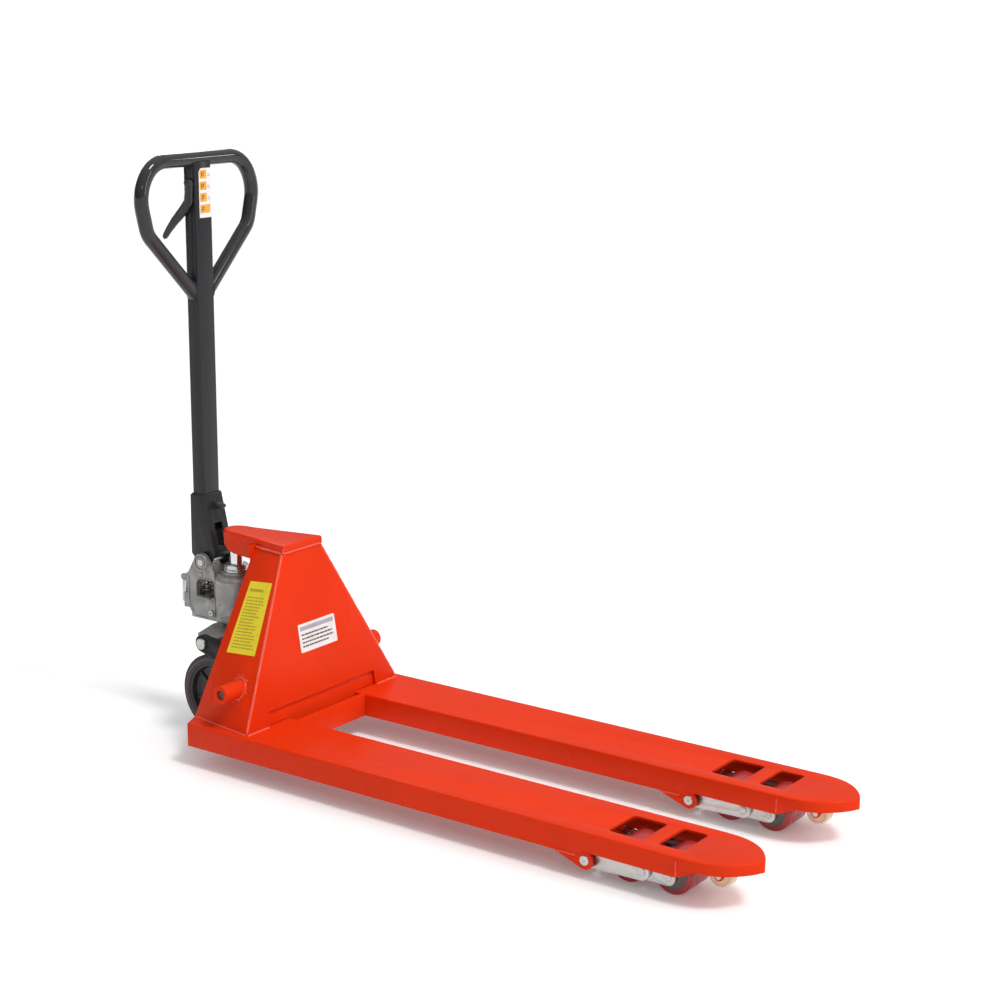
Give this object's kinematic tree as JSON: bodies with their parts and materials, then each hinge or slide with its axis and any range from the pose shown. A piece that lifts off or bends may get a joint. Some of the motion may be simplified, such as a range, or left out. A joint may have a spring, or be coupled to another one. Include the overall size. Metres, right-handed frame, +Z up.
{
  "type": "pallet jack",
  "caption": "Hand pallet truck: orange-red forks and tower on tandem load rollers, steered and lifted by a rear pump with a dark loop handle.",
  "frame": {"origin": "on the floor, under the middle of the whole truck", "axes": "+X from the handle to the fork tips, +Y to the truck's left, +Z up"},
  "size_m": [1.593, 0.5424, 1.2774],
  "materials": {
    "red_paint": "glossy orange-red enamel",
    "dark_paint": "glossy dark grey enamel",
    "silver_paint": "satin silver paint on castings",
    "zinc_plate": "zinc plated",
    "bright_steel": "machined steel",
    "chrome": "hard chrome",
    "black_tyre": "satin black",
    "dark_iron": "black painted iron and steel",
    "red_tread": "dark red polyurethane",
    "cream_nylon": "cream nylon",
    "label_film": "printed film labels, yellow and white"
  },
  "bodies": {
    "chassis": {"fork_right": "red_paint", "fork_left": "red_paint", "cross_beam": "red_paint", "tower_front": "red_paint", "tower_kick_plate": "red_paint", "tower_side_right": "red_paint", "tower_side_left": "red_paint", "tower_cap": "red_paint", "hinge_ear_right_outer": "red_paint", "hinge_ear_right_inner": "red_paint", "hinge_ear_left_outer": "red_paint", "hinge_ear_left_inner": "red_paint", "ram_socket": "bright_steel", "lift_ram": "chrome", "lug_pin_right": "zinc_plate", "lug_pin_left": "zinc_plate", "entry_pin_right": "zinc_plate", "entry_pin_left": "zinc_plate"},
    "carriage": {"thrust_plate": "silver_paint", "thrust_bearing": "bright_steel"},
    "pump_unit": {"pump_body": "silver_paint", "reservoir": "silver_paint", "gland_nut": "silver_paint", "axle_block": "dark_iron", "steer_axle": "bright_steel", "handle_pin": "zinc_plate", "release_valve": "silver_paint", "plunger_spring": "bright_steel"},
    "plunger": {"plunger": "bright_steel"},
    "valve_lever": {"valve_lever": "zinc_plate"},
    "handle": {"handle_base": "dark_paint", "handle_column": "dark_paint", "handle_loop": "dark_paint", "press_roller": "bright_steel"},
    "release_lever": {"release_lever": "dark_paint"},
    "release_rod": {"release_rod": "bright_steel"},
    "rocker": {"rocker": "dark_iron", "rocker_shaft": "bright_steel", "thrust_pin_right": "zinc_plate", "thrust_pin_left": "zinc_plate"},
    "steer_wheel_right": {"steer_tyre_right": "black_tyre", "steer_hub_right": "dark_iron"},
    "load_arm_right": {"load_arm_right": "zinc_plate"},
    "push_rod_right": {"push_rod_right": "dark_iron"},
    "bogie_right": {"bogie_right": "zinc_plate", "roller_axle_right_rear": "zinc_plate", "roller_axle_right_front": "zinc_plate"},
    "load_roller_right_rear": {"load_roller_right_rear": "red_tread"},
    "load_roller_right_front": {"load_roller_right_front": "red_tread"},
    "entry_roller_right": {"entry_roller_right": "cream_nylon"},
    "steer_wheel_left": {"steer_tyre_left": "black_tyre", "steer_hub_left": "dark_iron"},
    "load_arm_left": {"load_arm_left": "zinc_plate"},
    "push_rod_left": {"push_rod_left": "dark_iron"},
    "bogie_left": {"bogie_left": "zinc_plate", "roller_axle_left_rear": "zinc_plate", "roller_axle_left_front": "zinc_plate"},
    "load_roller_left_rear": {"load_roller_left_rear": "red_tread"},
    "load_roller_left_front": {"load_roller_left_front": "red_tread"},
    "entry_roller_left": {"entry_roller_left": "cream_nylon"}
  },
  "joints": [
    {"name": "lift", "type": "slide", "parent": "chassis", "child": "carriage", "axis": [0, 0, -1], "range_m": [0, 0.105]},
    {"name": "steer", "type": "hinge", "parent": "carriage", "child": "pump_unit", "pos_m": [-0.632, 0, 0.2], "axis": [0, 0, 1], "range_deg": [-95, 95]},
    {"name": "handle_tilt", "type": "hinge", "parent": "pump_unit", "child": "handle", "pos_m": [-0.699, 0, 0.376], "axis": [0, -1, 0], "range_deg": [0, 80], "stiffness_Nm_per_rad": 26, "springref_deg": -6.88},
    {"name": "plunger_stroke", "type": "slide", "parent": "pump_unit", "child": "plunger", "axis": [0, 0, -1], "range_m": [0, 0.03], "deforming": ["plunger_spring"]},
    {"name": "trigger", "type": "hinge", "parent": "handle", "child": "release_lever", "pos_m": [-0.713, 0, 1.213], "axis": [0, 1, 0], "range_deg": [-10, 22], "stiffness_Nm_per_rad": 3},
    {"name": "rod_pull", "type": "slide", "parent": "handle", "child": "release_rod", "axis": [0, 0, 1], "range_m": [-0.003, 0.005]},
    {"name": "valve_press", "type": "hinge", "parent": "pump_unit", "child": "valve_lever", "pos_m": [-0.787, 0, 0.322], "axis": [0, -1, 0], "range_deg": [-3, 6.5]},
    {"name": "rocker_turn", "type": "hinge", "parent": "chassis", "child": "rocker", "pos_m": [-0.4495, 0, 0.173], "axis": [0, -1, 0], "range_deg": [0, 33]},
    {"name": "wheel_spin_right", "type": "hinge", "parent": "pump_unit", "child": "steer_wheel_right", "pos_m": [-0.638, -0.0575, 0.09], "axis": [0, 1, 0], "continuous": true},
    {"name": "arm_turn_right", "type": "hinge", "parent": "chassis", "child": "load_arm_right", "pos_m": [0.4665, -0.19, 0.0386], "axis": [0, 1, 0], "range_deg": [0, 63]},
    {"name": "rod_turn_right", "type": "hinge", "parent": "load_arm_right", "child": "push_rod_right", "pos_m": [0.4458, -0.19, 0.0726], "axis": [0, -1, 0], "range_deg": [0, 63]},
    {"name": "bogie_turn_right", "type": "hinge", "parent": "load_arm_right", "child": "bogie_right", "pos_m": [0.5825, -0.19, 0.043], "axis": [0, -1, 0], "range_deg": [0, 63]},
    {"name": "roller_spin_right_rear", "type": "hinge", "parent": "bogie_right", "child": "load_roller_right_rear", "pos_m": [0.5345, -0.19, 0.04], "axis": [0, 1, 0], "continuous": true},
    {"name": "roller_spin_right_front", "type": "hinge", "parent": "bogie_right", "child": "load_roller_right_front", "pos_m": [0.6305, -0.19, 0.04], "axis": [0, 1, 0], "continuous": true},
    {"name": "entry_spin_right", "type": "hinge", "parent": "chassis", "child": "entry_roller_right", "pos_m": [0.714, -0.19, 0.05], "axis": [0, 1, 0], "continuous": true},
    {"name": "wheel_spin_left", "type": "hinge", "parent": "pump_unit", "child": "steer_wheel_left", "pos_m": [-0.638, 0.0575, 0.09], "axis": [0, 1, 0], "continuous": true},
    {"name": "arm_turn_left", "type": "hinge", "parent": "chassis", "child": "load_arm_left", "pos_m": [0.4665, 0.19, 0.0386], "axis": [0, 1, 0], "range_deg": [0, 63]},
    {"name": "rod_turn_left", "type": "hinge", "parent": "load_arm_left", "child": "push_rod_left", "pos_m": [0.4458, 0.19, 0.0726], "axis": [0, -1, 0], "range_deg": [0, 63]},
    {"name": "bogie_turn_left", "type": "hinge", "parent": "load_arm_left", "child": "bogie_left", "pos_m": [0.5825, 0.19, 0.043], "axis": [0, -1, 0], "range_deg": [0, 63]},
    {"name": "roller_spin_left_rear", "type": "hinge", "parent": "bogie_left", "child": "load_roller_left_rear", "pos_m": [0.5345, 0.19, 0.04], "axis": [0, 1, 0], "continuous": true},
    {"name": "roller_spin_left_front", "type": "hinge", "parent": "bogie_left", "child": "load_roller_left_front", "pos_m": [0.6305, 0.19, 0.04], "axis": [0, 1, 0], "continuous": true},
    {"name": "entry_spin_left", "type": "hinge", "parent": "chassis", "child": "entry_roller_left", "pos_m": [0.714, 0.19, 0.05], "axis": [0, 1, 0], "continuous": true}
  ],
  "couplings": [
    {"joint": "plunger_stroke", "follows": "handle_tilt", "m_per_rad": 0.0211},
    {"joint": "rod_pull", "follows": "trigger", "m_per_rad": 0.011},
    {"joint": "valve_press", "follows": "trigger", "ratio": 0.2727},
    {"joint": "rocker_turn", "follows": "lift", "rad_per_m": 5.397},
    {"joint": "arm_turn_right", "follows": "lift", "rad_per_m": 10.346},
    {"joint": "rod_turn_right", "follows": "lift", "rad_per_m": 10.346},
    {"joint": "bogie_turn_right", "follows": "lift", "rad_per_m": 10.346},
    {"joint": "arm_turn_left", "follows": "lift", "rad_per_m": 10.346},
    {"joint": "rod_turn_left", "follows": "lift", "rad_per_m": 10.346},
    {"joint": "bogie_turn_left", "follows": "lift", "rad_per_m": 10.346}
  ]
}
